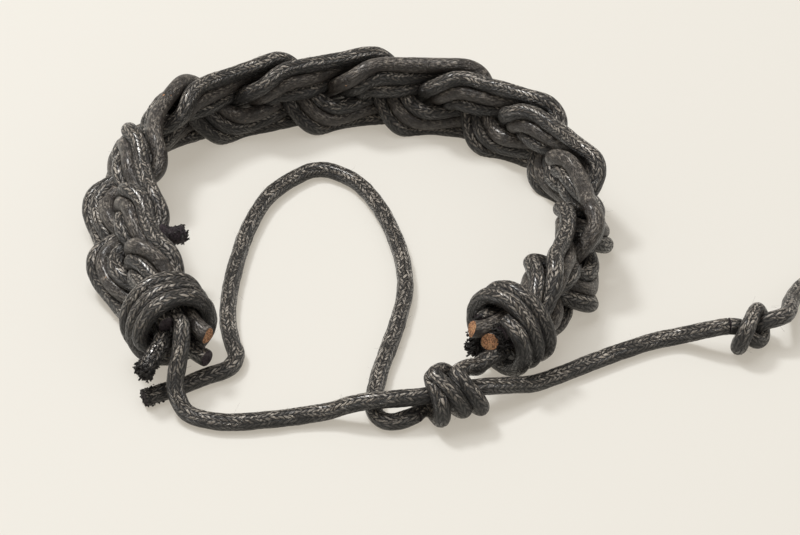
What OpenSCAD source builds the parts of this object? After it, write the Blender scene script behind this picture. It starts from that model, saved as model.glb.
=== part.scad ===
// Plaited cord bracelet: three strands of three cords, bound at both ends and closed by knotted ties.
// Millimetres, +Z up. The band stands on its edge, and the gap with the ties faces -Y.

/* [Cords] */
// Diameter of a cord or lace in the plait, where the plait squeezes it
plait_cord_d = 1.4; // [1.2:0.02:1.4]
// Diameter of the tie cords and the sliding knot
tie_cord_d = 2; // [1.6:0.1:2]
// Diameter of the cord wrapped in the bindings
binding_cord_d = 1.8; // [1.6:0.1:1.8]
// Diameter of the tail's cord inside its tight stopper knot
stopper_cord_d = 1.5; // [1.3:0.1:1.5]

/* [Plait] */
// Reach of a strand's middle to each edge of the band
strand_reach = 3.35; // [3.3:0.05:3.45]
// Rise of a strand over the one that it crosses
strand_rise = 1.8; // [1.8:0.05:1.9]
// Distance between neighbouring cords of a strand
cord_spacing = 1.6; // [1.6:0.01:1.64]

/* [Bindings] */
// Turns of cord in the left binding
left_turns = 2.9; // [2.5:0.1:2.9]
// Turns of cord in the right binding
right_turns = 2.7; // [2.4:0.1:2.7]
// Distance from one turn of a binding to the next
binding_pitch = 1.94; // [1.94:0.02:2.02]

/* [Hidden] */

SIDES = 8;
PLAIT_SIDES = 7;
STRANDS = 3;
GAP = 0.12;

// The middle of the wrist, as the ring's own numbers count from it, measured from the part's origin.
WRIST = [0.77, -1.65, 0];

// The band's middle line seen from above, with the lean of the band and the height of its middle.
// azimuth is clockwise from +Y, radius is from the middle of the wrist, lean tips the top edge inward.
AZIMUTH = 0;
RADIUS = 1;
LEAN = 2;
HEIGHT = 3;
STATIONS = [
    [-160, 35, 8, 4.9],
    [-148, 31.8, 12, 5.35],
    [-136, 29.1, 16, 5.35],
    [-124, 27.5, 26, 5.15],
    [-108, 27.1, 36, 5],
    [-90, 27.3, 39, 4.9],
    [-72, 29.4, 36, 5],
    [-55, 31.6, 25, 5.1],
    [-40, 31.2, 11, 4.95],
    [-20, 29, 2, 4.9],
    [0, 28.5, 0, 4.85],
    [25, 28.8, 0, 4.9],
    [50, 28.8, 3, 4.95],
    [75, 28.2, 4, 4.95],
    [100, 27.4, 7, 4.95],
    [120, 27.1, 15, 5.05],
    [132, 27.5, 12, 5.35],
    [144, 27.7, 4, 5.35],
    [160, 28.2, 0, 5.35],
];
PLAIT_START = -122;
PLAIT_END = 128;
MEAN_RADIUS = 28.8;
DEG_PER_MM = 180 / (PI * MEAN_RADIUS);
PLAIT_PITCHES = 3.5;

function unit(v) = v / norm(v);
function mix(a, b, f) = a * (1 - f) + b * f;
function smooth(f) = let (g = min(max(f, 0), 1)) g * g * (3 - 2 * g);
function cubic(a, b, c, d, f) =
    b + 0.5 * f * (c - a + f * (2 * a - 5 * b + 4 * c - d + f * (3 * (b - c) + d - a)));
function station_before(az) =
    max([for (i = [1:len(STATIONS) - 3]) if (i == 1 || STATIONS[i][AZIMUTH] <= az) i]);
function at_azimuth(az, column) =
    let (i = station_before(az), a = STATIONS[i][AZIMUTH], b = STATIONS[i + 1][AZIMUTH])
    cubic(STATIONS[i - 1][column], STATIONS[i][column], STATIONS[i + 1][column], STATIONS[i + 2][column],
        (az - a) / (b - a));
function band_middle(az) =
    let (r = at_azimuth(az, RADIUS)) WRIST + [r * sin(az), r * cos(az), at_azimuth(az, HEIGHT)];
function band_way(az) = unit(band_middle(az + 0.5) - band_middle(az - 0.5));
function band_across(az) =
    let (inward = unit(cross(band_way(az), [0, 0, 1])), l = at_azimuth(az, LEAN))
    [0, 0, cos(l)] + sin(l) * inward;
function band_inward(az) = unit(cross(band_way(az), band_across(az)));
// A place in the band: along in millimetres, across towards the top edge, inward towards the wrist.
function in_band(p) = let (az = p[0] * DEG_PER_MM)
    band_middle(az) + p[1] * band_across(az) + p[2] * band_inward(az);

// The plait. A strand's middle swings from edge to edge and rises over the strand that it meets.
// Near each binding it slows to a stop, and its cords turn to stand one behind another.
START = PLAIT_START / DEG_PER_MM;
END = PLAIT_END / DEG_PER_MM;
PITCH = (END - START) / PLAIT_PITCHES;
EASE = 5.6;
GATHER = 11.8;
TURN_LENGTH = 10.8;
BUNDLE_SPACING = 1.6;
function eased(x) = x <= -EASE ? x : x >= EASE ? 0 : x - pow(x + EASE, 2) / (4 * EASE);
function plait_along(along) =
    along > (START + END) / 2 ? END + eased(along - END) : START - eased(START - along);
function beyond(along) = max(START - along, along - END);
function gathered(along) = smooth((beyond(along) - 1 + GATHER / 2) / GATHER);
function turned(along) = smooth((beyond(along) - 0.5 + TURN_LENGTH / 2) / TURN_LENGTH);
function phase(along, strand) = 360 * ((plait_along(along) - START) / PITCH + strand / STRANDS);
function end_phase(along, strand) =
    360 * ((along > (START + END) / 2 ? PLAIT_PITCHES : 0) + strand / STRANDS);
function strand_middle(along, strand) =
    let (p = phase(along, strand), q = end_phase(along, strand))
    mix([along - 0.8 * sin(2 * p), strand_reach * sin(p) + 0.7 * sin(3 * p),
            strand_rise * sin(2 * p) + 0.3 * sin(4 * p) + 0.2 * sin(6 * p)],
        [along, BUNDLE_SPACING * sin(q) / sin(60), 0], gathered(along));
function cord_point(along, strand, cord) =
    let (
        g = gathered(along),
        p = phase(along, strand),
        way = unit(strand_middle(along + 0.1, strand) - strand_middle(along - 0.1, strand)),
        side = unit([0, 1, 0] - way * way[1]),
        over = cross(way, side),
        tilt = mix(20 * cos(p) + 55 * cos(3 * p), 90 * cos(3 * end_phase(along, strand)), turned(along)),
        flat_way = cos(tilt) * side + sin(tilt) * over,
        crown = cos(tilt) * over - sin(tilt) * side,
        lift = 0.5 * (1 - g) * sin(2 * p) * (cord == 0 ? 1 : -0.5)
    ) strand_middle(along, strand) + cord * cord_spacing * flat_way + lift * crown;

// Each binding lies from BIND_FROM to its face, both measured outward from the plait's end.
BIND_FROM = 1.6;
LEFT_FACE = BIND_FROM + binding_pitch * left_turns + binding_cord_d;
RIGHT_FACE = BIND_FROM + (binding_pitch * right_turns + binding_cord_d) * 1.05;
// How far each cord's cut end stands past the face of a binding, and how far it strays up and inward.
// A negative length ends inside the binding.
PAST = 0;
UP = 1;
INWARD = 2;
LEFT_ENDS = [
    [[2, -2.4, -3.8], [-0.8, 0, 0], [-1.4, 0, 0]],
    [[-0.8, 0, 0], [-0.6, 0, 0], [2, -0.3, 0.9]],
    [[-0.5, 0, 0], [-0.6, 0, 0], [2.2, 0.2, 0.9]],
];
RIGHT_ENDS = [
    [[0.6, 0.2, 0], [0.9, 0.9, -1.3], [-1.6, 0, 0]],
    [[1, 0, 0], [0.6, 0, 0], [-1.6, 0, 0]],
    [[-0.2, 0, 0], [2.2, 0.4, 0.8], [-0.8, 0, 0]],
];
RING_PHASES = [-72, -54, -36, -20, -6, 6, 20, 36, 54, 72, 90];
function plait_rings(strand) =
    [for (k = [-2:2 * PLAIT_PITCHES + 1], o = RING_PHASES)
        let (a = START + PITCH * ((90 + 180 * k + o) / 360 - strand / STRANDS))
        if (a > START + 7 && a < END - 7) a];
// The last stretch of a cord, from the plait out through a binding.
function end_run(face, past) =
    concat([-6.4, -4.8, -3.4, -2, -0.6, 0.8, 2.4, 4.2, 6],
        past > 0 ? [for (f = [0, 0.35, 0.7, 1]) face + f * past] : [face + past]);
function end_point(along, out, strand, cord, end, face) =
    let (f = end[PAST] > 0 ? smooth((out - face) / end[PAST]) : 0)
    in_band(cord_point(along, strand, cord) + f * [0, end[UP], end[INWARD]]);
function plait_route(strand, cord) =
    let (l = LEFT_ENDS[strand][cord + 1], r = RIGHT_ENDS[strand][cord + 1],
        left = end_run(LEFT_FACE, l[PAST]), right = end_run(RIGHT_FACE, r[PAST]))
    concat(
        [for (i = [len(left) - 1:-1:0]) end_point(START - left[i], left[i], strand, cord, l, LEFT_FACE)],
        [for (a = plait_rings(strand)) in_band(cord_point(a, strand, cord))],
        [for (out = right) end_point(END + out, out, strand, cord, r, RIGHT_FACE)]
    );

// A tube of round section through the points of a route, with its frame carried along.
function frames(route) =
    let (
        n = len(route),
        ways = [for (i = [0:n - 1]) unit(route[min(i + 1, n - 1)] - route[max(i - 1, 0)])],
        first = unit(cross(ways[0], abs(ways[0][2]) < 0.9 ? [0, 0, 1] : [1, 0, 0]))
    )
    [for (i = 0, side = first; i < n;
        i = i + 1, side = i < n ? unit(side - ways[i] * (side * ways[i])) : side)
        [side, cross(ways[i], side)]];
module tube(route, diameter, sides = SIDES) {
    n = len(route);
    fr = frames(route);
    points = [for (i = [0:n - 1], k = [0:sides - 1])
        route[i] + diameter / 2 * (cos(360 * k / sides) * fr[i][0] + sin(360 * k / sides) * fr[i][1])];
    walls = [for (i = [0:n - 2], k = [0:sides - 1], half = [0, 1])
        let (a = i * sides + k, b = i * sides + (k + 1) % sides)
        half == 0 ? [a, a + sides, b + sides] : [a, b + sides, b]];
    near = [for (k = [0:sides - 1]) k];
    far = [for (k = [sides - 1:-1:0]) (n - 1) * sides + k];
    polyhedron(points, concat([near], walls, [far]));
}
// A smooth line through points, with a number of steps from each point to the next.
function through(points, steps) =
    let (n = len(points))
    concat([for (i = [0:n - 2], k = [0:steps - 1])
        cubic(points[max(i - 1, 0)], points[i], points[i + 1], points[min(i + 2, n - 1)], k / steps)],
        [points[n - 1]]);

// A binding: a coil round the nine gathered cords. slant tips its turns, so that they bunch.
BUNDLE_R = norm([BUNDLE_SPACING, cord_spacing]) + 0.42 + plait_cord_d / 2;
COIL_R = BUNDLE_R + binding_cord_d / 2 + GAP;
COIL_RINGS = 10;
function coil(edge, out, face, turns, slant, start) =
    let (
        from = in_band([edge + out * BIND_FROM, 0, 0]),
        way = unit(in_band([edge + out * face, 0, 0]) - from),
        middle = edge + out * (BIND_FROM + face) / 2,
        up = in_band([middle, 1, 0]) - in_band([middle, 0, 0]),
        across = unit(up - way * (up * way)),
        side = cross(way, across)
    )
    [for (i = [0:COIL_RINGS * turns]) let (turned = i / COIL_RINGS, a = start + 360 * turned)
        from + way * (binding_cord_d / 2 + binding_pitch * turned + slant * cos(a))
            + COIL_R * cos(a) * across + COIL_R * sin(a) * side];

// Routes of the free cords, as points chosen in the ring's own numbers. The surface is at height 0.
FLOOR = 1.05;
LEFT_TIE = [
    [-19, -25, 6.3],
    [-19.3, -26.4, 4.9],
    [-19.6, -27.7, 3.5],
    [-19.4, -29, 2.2],
    [-18.3, -30.6, 1.2],
    [-16, -31.8, FLOOR],
    [-13, -32.2, FLOOR],
    [-9.3, -31.8, FLOOR],
    [-5.6, -31.1, FLOOR],
    [-2.4, -30.8, 1.5],
    [0.2, -30.9, 2.6],
    [2.6, -31, 3.2],
    [5.2, -30.9, 3.4],
    [8, -30.5, 3.4],
    [11.5, -29.6, 3.4],
    [15, -28.7, 3.3],
    [18, -27.4, 2.4],
    [21, -25.7, 1.3],
    [24, -23.8, FLOOR],
    [27.4, -21.8, FLOOR],
    [30.9, -19.8, FLOOR],
    [35.1, -17.8, FLOOR],
    [38, -17.3, 1.4],
    [40.5, -18, 2.7],
    [42.1, -18.4, 3.5],
];
RIGHT_TIE = [
    [16.2, -24.8, 4.6],
];
LOOP_TIE = [
    [5.4, -32, FLOOR],
    [4, -32, FLOOR],
    [3, -31, FLOOR],
    [2.6, -29.6, FLOOR],
    [2.7, -28, FLOOR],
    [2.9, -26, FLOOR],
    [3.4, -23, FLOOR],
    [4.2, -19.5, FLOOR],
    [5.4, -14, FLOOR],
    [6.2, -8.5, FLOOR],
    [6, -3.4, FLOOR],
    [5.1, 1.6, FLOOR],
    [3.5, 7.1, FLOOR],
    [0.9, 12.6, FLOOR],
    [-1.9, 15.4, FLOOR],
    [-4.5, 16.3, FLOOR],
    [-6.9, 15.2, FLOOR],
    [-10.5, 10.9, FLOOR],
    [-12.7, 4.7, FLOOR],
    [-13.8, -1.4, FLOOR],
    [-14.5, -8.2, FLOOR],
    [-14.5, -13.9, FLOOR],
    [-13.8, -18, FLOOR],
    [-13.2, -20.6, FLOOR],
    [-14, -22.8, FLOOR],
    [-16.2, -24.1, FLOOR],
    [-18.6, -25.6, FLOOR],
    [-21, -26.9, FLOOR],
    [-23.1, -28, FLOOR],
];
TAIL_END = [
    [49.7, -16.75, 3.8],
    [50.5, -15.6, 3.4],
    [51, -13.6, 2.8],
    [51.7, -11, 1.8],
    [53.1, -7.9, FLOOR],
    [56, -4.8, FLOOR],
    [59, -2, FLOOR],
];

// The sliding knot's turns round the left tie.
// turn is counted from the top over the front, reach is measured from the tie.
TURN = 0;
ALONG = 1;
REACH = 2;
KNOT_MIDDLE = [11.5, -29.6, 3.4];
KNOT_WAY = unit([0.97, 0.25, 0]);
KNOT_ACROSS = [-KNOT_WAY[1], KNOT_WAY[0], 0];
SLIDING_KNOT = [
    [-67, 4.9, 2.9],
    [-61, 4, 2.4],
    [-40, 2.6, 2.3],
    [0, 1.3, 2.35],
    [60, 2, 2.35],
    [120, 3.1, 2.35],
    [180, 3, 2.35],
    [240, 1.7, 2.35],
    [300, -0.2, 2.35],
    [360, -1.3, 2.35],
    [420, -0.4, 2.35],
    [480, 0.7, 2.35],
    [540, 0.5, 2.35],
    [600, -1.1, 2.35],
    [660, -3, 2.35],
    [720, -3.8, 2.35],
    [780, -2.9, 2.35],
    [840, -1.8, 2.35],
    [900, -1.9, 2.35],
    [918, -2.8, 2.35],
    [912, -4, 2.38],
    [895, -5.2, 2.4],
];
function knot_point(row) = WRIST + KNOT_MIDDLE + row[ALONG] * KNOT_WAY
    - row[REACH] * sin(row[TURN]) * KNOT_ACROSS + [0, 0, row[REACH] * cos(row[TURN])];
function knot_route() = [for (row = through(SLIDING_KNOT, 2)) knot_point(row)];

// The stopper knot: half of an overhand knot, from its middle to the cord that leaves it.
// Each place is along the tail, up, and towards the front. The other half mirrors it.
STOPPER_MIDDLE = [46.1, -17.7, 2.6];
STOPPER_WAY = unit([0.97, 0.24, 0]);
STOPPER_SIZE = 1.08;
HALF_STOPPER = [
    [0, 1.7, 0],
    [0.5, 1.7, -0.7],
    [1, 1.5, -1.3],
    [1.4, 0.9, -1.7],
    [1.7, 0.2, -1.8],
    [1.8, -0.6, -1.6],
    [1.7, -1.2, -1],
    [1.4, -1.5, -0.3],
    [0.9, -1.4, 0.3],
    [0.3, -1, 0.7],
    [-0.3, -0.4, 0.8],
    [-0.8, 0.1, 0.4],
    [-1.5, 0.75, 0.1],
    [-2.6, 1, 0],
];
function stopper_point(p) =
    let (across = [-STOPPER_WAY[1], STOPPER_WAY[0], 0])
    WRIST + STOPPER_MIDDLE + STOPPER_SIZE * (p[0] * STOPPER_WAY - p[2] * across + [0, 0, p[1]]);
function stopper_route() = [for (p = through(concat(
    [for (i = [len(HALF_STOPPER) - 1:-1:1]) HALF_STOPPER[i]],
    [for (h = HALF_STOPPER) [-h[0], h[1], -h[2]]]), 2)) stopper_point(p)];

function placed(points) = [for (p = points) WRIST + p];
function ends_apart(from, to) = from + 1.6 * GAP * unit(to - from);

module plait_cord(strand, cord) color("dimgray")
    tube(plait_route(strand, cord), plait_cord_d, PLAIT_SIDES);
module plait_lace(strand, cord) color("saddlebrown")
    tube(plait_route(strand, cord), plait_cord_d, PLAIT_SIDES);
module left_binding() color("gray")
    tube(coil(START, -1, LEFT_FACE, left_turns, 0, 179), binding_cord_d);
module right_binding() color("gray")
    tube(coil(END, 1, RIGHT_FACE, right_turns, 0.15, 78), binding_cord_d);

// A short cut end that stands out of the plait's inner side.
STUB = [[-22.8, -5.2, 7.4], [-21.9, -5.4, 7.1], [-20.9, -5.3, 6.9], [-20, -4.9, 6.9]];
module inner_stub() color("dimgray") tube(placed(STUB), plait_cord_d);
module left_tie() color("silver")
    let (first = in_band([START - LEFT_FACE - 0.1, 1.9, -0.3]), points = placed(LEFT_TIE),
        last = ends_apart(stopper_point([-2.6, 1, 0]), points[len(points) - 1]))
    tube(through(concat([first], points, [last]), 2), tie_cord_d);
module right_tie() color("silver")
    let (first = in_band([END + RIGHT_FACE + 0.1, -1, -1.6]), points = placed(RIGHT_TIE),
        last = ends_apart(knot_point(SLIDING_KNOT[0]), points[len(points) - 1]))
    tube(through(concat([first], points, [last]), 2), tie_cord_d);
module sliding_knot() color("darkgray") tube(knot_route(), tie_cord_d);
module loop_tie() color("silver")
    let (points = placed(LOOP_TIE),
        first = ends_apart(knot_point(SLIDING_KNOT[len(SLIDING_KNOT) - 1]), points[0]))
    tube(through(concat([first], points), 2), tie_cord_d);
module stopper_knot() color("darkgray") tube(stopper_route(), stopper_cord_d);
module tail_end() color("silver")
    let (points = placed(TAIL_END), first = ends_apart(stopper_point([2.6, 1, 0]), points[0]))
    tube(through(concat([first], points), 2), tie_cord_d);

plait_cord(0, -1);  // strand_1_cord_a
plait_lace(0, 0);  // strand_1_lace
plait_cord(0, 1);  // strand_1_cord_b
plait_cord(1, -1);  // strand_2_cord_a
plait_cord(1, 0);  // strand_2_cord_b
plait_lace(1, 1);  // strand_2_lace
plait_cord(2, -1);  // strand_3_cord_a
plait_lace(2, 0);  // strand_3_lace
plait_cord(2, 1);  // strand_3_cord_b
left_binding();
right_binding();
inner_stub();
left_tie();
right_tie();
sliding_knot();
loop_tie();
stopper_knot();
tail_end();
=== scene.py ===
"""Braided cord bracelet: waxed cords and leather laces plaited to an open ring, with bindings and ties."""

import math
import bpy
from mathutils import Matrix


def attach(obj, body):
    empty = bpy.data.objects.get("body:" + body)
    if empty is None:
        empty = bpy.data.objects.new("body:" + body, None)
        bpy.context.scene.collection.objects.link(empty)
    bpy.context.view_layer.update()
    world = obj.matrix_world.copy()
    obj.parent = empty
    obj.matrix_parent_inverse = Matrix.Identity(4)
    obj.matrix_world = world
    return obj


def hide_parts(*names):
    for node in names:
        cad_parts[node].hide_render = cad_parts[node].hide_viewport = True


bl_info = {
    "name": "Braided Cord Bracelet",
    "version": (1, 0, 0),
    "blender": (4, 5, 0),
    "location": "View3D > Sidebar > Bracelet",
    "description": "Plaited ring of waxed cords and leather laces, its bindings, sliding knot and ties",
    "category": "Add Mesh",
}

import bpy
import numpy as np
from mathutils import Vector
from mathutils.kdtree import KDTree

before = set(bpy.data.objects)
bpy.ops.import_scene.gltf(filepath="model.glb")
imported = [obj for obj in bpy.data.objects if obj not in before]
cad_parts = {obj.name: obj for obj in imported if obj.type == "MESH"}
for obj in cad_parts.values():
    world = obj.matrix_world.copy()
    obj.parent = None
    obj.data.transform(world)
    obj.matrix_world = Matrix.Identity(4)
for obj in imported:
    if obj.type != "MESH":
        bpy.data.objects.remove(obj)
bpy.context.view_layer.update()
MM = 0.001
FULL_TURN = 2 * math.pi

# The ring, in millimetres, as the solids have it. WRIST is the middle of the wrist.
WRIST = np.array([0.77, -1.65, 0])
# azimuth clockwise from +Y, radius, lean of the top edge inward, height of the band's middle
STATIONS = np.array([
    [-160, 35, 8, 4.9],
    [-148, 31.8, 12, 5.35],
    [-136, 29.1, 16, 5.35],
    [-124, 27.5, 26, 5.15],
    [-108, 27.1, 36, 5],
    [-90, 27.3, 39, 4.9],
    [-72, 29.4, 36, 5],
    [-55, 31.6, 25, 5.1],
    [-40, 31.2, 11, 4.95],
    [-20, 29, 2, 4.9],
    [0, 28.5, 0, 4.85],
    [25, 28.8, 0, 4.9],
    [50, 28.8, 3, 4.95],
    [75, 28.2, 4, 4.95],
    [100, 27.4, 7, 4.95],
    [120, 27.1, 15, 5.05],
    [132, 27.5, 12, 5.35],
    [144, 27.7, 4, 5.35],
    [160, 28.2, 0, 5.35],
])
AZIMUTH, RADIUS, LEAN, HEIGHT = range(4)
PLAIT_START = -122
PLAIT_END = 128
MEAN_RADIUS = 28.8
DEG_PER_MM = 180 / (math.pi * MEAN_RADIUS)
PLAIT_PITCHES = 3.5
START = PLAIT_START / DEG_PER_MM
END = PLAIT_END / DEG_PER_MM
PITCH = (END - START) / PLAIT_PITCHES
STRANDS = 3

# Near a binding the strands slow down, gather in a bundle of nine cords, and each turns on edge.
EASE = 5.6
GATHER = 11.8
GATHER_LEAD = 1
TURN_LENGTH = 10.8
TURN_LEAD = 0.5
BUNDLE_SPACING = 1.6

# How a strand swings: its lag along the band, how pointed its turns are, and how square its rise is.
SWING_LAG = 0.8
SWING_POINT = 0.7
RISE_SQUARE = (0.3, 0.2)
# Round this azimuth the strands rise less, by this share, and so the plait closes.
CALM_AZIMUTH = -42
CALM_WIDTH = 12
CALM_SHARE = 0.3
# How far a strand's three cords tilt from flat in degrees, and how far the middle one stands proud.
TILT = (24, 28)
CROWN = 0.2
PLAIT_STEP = 0.12

BIND_FROM = 1.6
LEFT_TURNS = 2.9
RIGHT_TURNS = 2.7
BINDING_PITCH = 1.94
BINDING_CORD = 1.8
# The right binding's turns slant, which takes a little more room.
SLANTED_ROOM = 1.05
LEFT_FACE = BIND_FROM + BINDING_PITCH * LEFT_TURNS + BINDING_CORD
RIGHT_FACE = BIND_FROM + (BINDING_PITCH * RIGHT_TURNS + BINDING_CORD) * SLANTED_ROOM
# The coil clears the bundle's corner cords, which are this thick in the solids.
PLAIT_CORD = 1.4
CORNER_ROOM = 0.42
SOLID_GAP = 0.12
COIL_RADIUS = (math.hypot(BUNDLE_SPACING, BUNDLE_SPACING) + CORNER_ROOM + PLAIT_CORD / 2
               + BINDING_CORD / 2 + SOLID_GAP)
COIL_STEPS = 48
# Over the last share of a turn, the end of a binding's cord is tucked inward and back under the turn before.
TUCK_TURN = 0.14
TUCK_IN = 1.5
TUCK_BACK = 0.6

# How far each cord's cut end stands past a binding's face, and how far it strays up and inward there.
LEFT_ENDS = (
    ((1.7, -2.2, -3.5), (-0.8, 0, 0), (-1.4, 0, 0)),
    ((-0.8, 0, 0), (-0.6, 0, 0), (1.6, -0.3, 0.8)),
    ((-0.5, 0, 0), (-0.6, 0, 0), (2.0, 0.2, 0.8)),
)
RIGHT_ENDS = (
    ((0.6, 0.2, 0), (0.9, 0.9, -1.3), (-1.6, 0, 0)),
    ((0.7, 0, 0), (0.4, 0, 0), (-1.6, 0, 0)),
    ((-0.2, 0, 0), (2.0, 0.4, 0.8), (-0.8, 0, 0)),
)
# How far inside the face a cord that stands out of it starts to stray.
STRAY_FROM = 1.5
# Which way the cut face of a lace looks, where it is cut at a slant. The left end is 0, the right end -1.
SLANTED_CUTS = {
    ("strand_2_lace", 0): (1, -0.5, 0.1),
    ("strand_1_lace", -1): (-0.3, -0.9, 0.5),
    ("strand_3_lace", -1): (-0.8, -0.2, 0.5),
}
SLANT_REACH = 2.2
# The plait's cords by strand, from one side of the strand to the other.
PLAIT_NODES = (
    ("strand_1_cord_a", "strand_1_lace", "strand_1_cord_b"),
    ("strand_2_cord_a", "strand_2_cord_b", "strand_2_lace"),
    ("strand_3_cord_a", "strand_3_lace", "strand_3_cord_b"),
)

# Routes of the free cords from the middle of the wrist, as the solids have them.
FLOOR = 1.05
LEFT_TIE = (
    (-19, -25, 6.3), (-19.3, -26.4, 4.9), (-19.6, -27.7, 3.5), (-19.4, -29, 2.2), (-18.3, -30.6, 1.2),
    (-16, -31.8, FLOOR), (-13, -32.2, FLOOR), (-9.3, -31.8, FLOOR), (-5.6, -31.1, FLOOR), (-2.4, -30.8, 1.5),
    (0.2, -30.9, 2.6), (2.6, -31, 3.2), (5.2, -30.9, 3.4), (8, -30.5, 3.4), (11.5, -29.6, 3.4),
    (15, -28.7, 3.3), (18, -27.4, 2.4), (21, -25.7, 1.3), (24, -23.8, FLOOR), (27.4, -21.8, FLOOR),
    (30.9, -19.8, FLOOR), (35.1, -17.8, FLOOR), (38, -17.3, 1.4), (40.5, -18, 2.7), (42.1, -18.4, 3.5),
)
RIGHT_TIE = ((16.2, -24.8, 4.6),)
LOOP_TIE = (
    (5.4, -32, FLOOR), (4, -32, FLOOR), (3, -31, FLOOR), (2.6, -29.6, FLOOR), (2.7, -28, FLOOR),
    (2.9, -26, FLOOR), (3.4, -23, FLOOR), (4.2, -19.5, FLOOR), (5.4, -14, FLOOR), (6.2, -8.5, FLOOR),
    (6, -3.4, FLOOR), (5.1, 1.6, FLOOR), (3.5, 7.1, FLOOR), (0.9, 12.6, FLOOR), (-1.9, 15.4, FLOOR),
    (-4.5, 16.3, FLOOR), (-6.9, 15.2, FLOOR), (-10.5, 10.9, FLOOR), (-12.7, 4.7, FLOOR),
    (-13.8, -1.4, FLOOR), (-14.5, -8.2, FLOOR), (-14.5, -13.9, FLOOR), (-13.8, -18, FLOOR),
    (-13.2, -20.6, FLOOR), (-14, -22.8, FLOOR), (-16.2, -24.1, FLOOR), (-18.6, -25.6, FLOOR),
    (-21, -26.9, FLOOR), (-23.1, -28, FLOOR),
)
TAIL_END = (
    (49.7, -16.75, 3.8), (50.5, -15.6, 3.4), (51, -13.6, 2.8), (51.7, -11, 1.8), (53.1, -7.9, FLOOR),
    (56, -4.8, FLOOR), (59, -2, FLOOR),
)
STUB = ((-22.8, -5.2, 7.4), (-21.9, -5.4, 7.1), (-20.9, -5.3, 6.9), (-20, -4.9, 6.9))
# A tie starts this far inside its binding's face, and is led past it by a little.
TIE_INSIDE = 1.2
TIE_PAST = 0.1


def level(x, y):
    """A level direction of length 1."""
    return np.array([x, y, 0]) / math.hypot(x, y)


# The sliding knot round the left tie: turn from the top over the front, place along it, reach from it.
KNOT_MIDDLE = np.array([11.5, -29.6, 3.4])
KNOT_WAY = level(0.97, 0.25)
SLIDING_KNOT = (
    (-67, 4.9, 2.9), (-61, 4, 2.4), (-40, 2.4, 2.3), (0, 0.6, 2.35), (40, 1.2, 2.35), (80, 2.4, 2.35),
    (120, 3.2, 2.35), (180, 3, 2.35), (240, 1.8, 2.35), (300, -0.4, 2.35), (330, -1.6, 2.4),
    (360, -2.4, 2.5), (400, -1.3, 2.6), (440, 0.1, 2.5), (480, 0.8, 2.35), (540, 0.5, 2.35),
    (600, -1, 2.2), (660, -2.2, 1.9), (720, -2.7, 1.8), (760, -2.6, 2.1), (800, -2.4, 2.7),
    (840, -2.3, 2.9), (880, -2.3, 2.7), (908, -2.8, 2.5), (912, -4, 2.4), (895, -5.2, 2.4),
)
# How tight the knot is drawn along the tie.
KNOT_PULL = 0.84
# Half of the overhand knot in the tail, from its middle to the cord that leaves it.
# Each place is along the tail, up, and towards the front. The other half mirrors it.
STOPPER_MIDDLE = np.array([46.1, -17.7, 2.6])
STOPPER_WAY = level(0.97, 0.24)
STOPPER_SIZE = 1.08
HALF_STOPPER = (
    (0, 1.7, 0), (0.5, 1.7, -0.7), (1, 1.5, -1.3), (1.4, 0.9, -1.7), (1.7, 0.2, -1.8), (1.8, -0.6, -1.6),
    (1.7, -1.2, -1), (1.4, -1.5, -0.3), (0.9, -1.4, 0.3), (0.3, -1, 0.7), (-0.3, -0.4, 0.8),
    (-0.8, 0.1, 0.4), (-1.5, 0.75, 0.1), (-2.6, 1, 0),
)

# Each kind of cord's mesh: the step along it and the number of sides round it.
PLAIT_MESH = (0.18, 28)
BINDING_MESH = (0.2, 28)
TIE_MESH = (0.15, 32)
STOPPER_MESH = (0.12, 32)
STUB_MESH = (0.12, 24)
# Each cord draws its own waver from a seed counted from this one.
FIRST_SEED = 11
# How much a worn cord's thickness wavers, and over what length.
ROUGH = 0.02
ROUGH_WAVE = 9.0
# How fast the braid twists round a cord, and how much that wavers, and over what length.
TWIST = 0.02
TWIST_WAVER = 0.25
TWIST_WAVE = 23.0
# Cords that join end to end come to one thickness over this length.
JOINT_EASE = 2.0

# A cord looks this far past its skin for neighbours that press on it.
NEIGHBOUR_REACH = 1.15
# Its own line presses on it too, where it lies more than so many radii further along.
OWN_REACH = 5
# The least share of its radius that a pressed cord keeps, and how far the pressed skin springs back.
LEAST_KEPT = 0.55
SPRING = 0.03
# Under this a place round the cord doesn't look towards its neighbour at all.
FACING = 1e-6
# Cords that join end to end don't press on each other there.
JOINED = {
    ("right_tie", "sliding_knot"),
    ("sliding_knot", "loop_tie"),
    ("left_tie", "stopper_knot"),
    ("stopper_knot", "tail_end"),
}
# A cut end as steps outward and the share of the radius that each keeps.
CAPS = {
    "plain": ((0.02, 0.95), (0.03, 0.5), (0.03, 0.0)),
    "cotton": ((0.08, 0.96), (0.18, 0.8), (0.22, 0.5), (0.15, 0.2), (0.1, 0.0)),
    "leather": ((0.01, 0.97), (0.02, 0.9), (0.06, 0.55), (0.03, 0.25), (0.05, 0.0)),
}
CAP_V_STEP = 0.05
# The lowest that a skin reaches, so that it never lies in the floor.
SKIN_FLOOR = 0.02


# Shapes

def sind(a):
    return np.sin(np.radians(a))


def cosd(a):
    return np.cos(np.radians(a))


def unit(v):
    return v / np.linalg.norm(v, axis=-1, keepdims=True)


def mix(a, b, f):
    return a * (1 - f) + b * f


def smooth(f):
    g = np.clip(f, 0, 1)
    return g * g * (3 - 2 * g)


def cubic(a, b, c, d, f):
    return b + 0.5 * f * (c - a + f * (2 * a - 5 * b + 4 * c - d + f * (3 * (b - c) + d - a)))


def through(points, steps):
    """A smooth line through points, with a number of steps from each to the next."""
    p = np.array(points, dtype=float)
    n = len(p)
    f = (np.arange(steps) / steps)[:, None]
    parts = [cubic(p[max(i - 1, 0)], p[i], p[i + 1], p[min(i + 2, n - 1)], f) for i in range(n - 1)]
    return np.vstack(parts + [p[-1:]])


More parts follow.
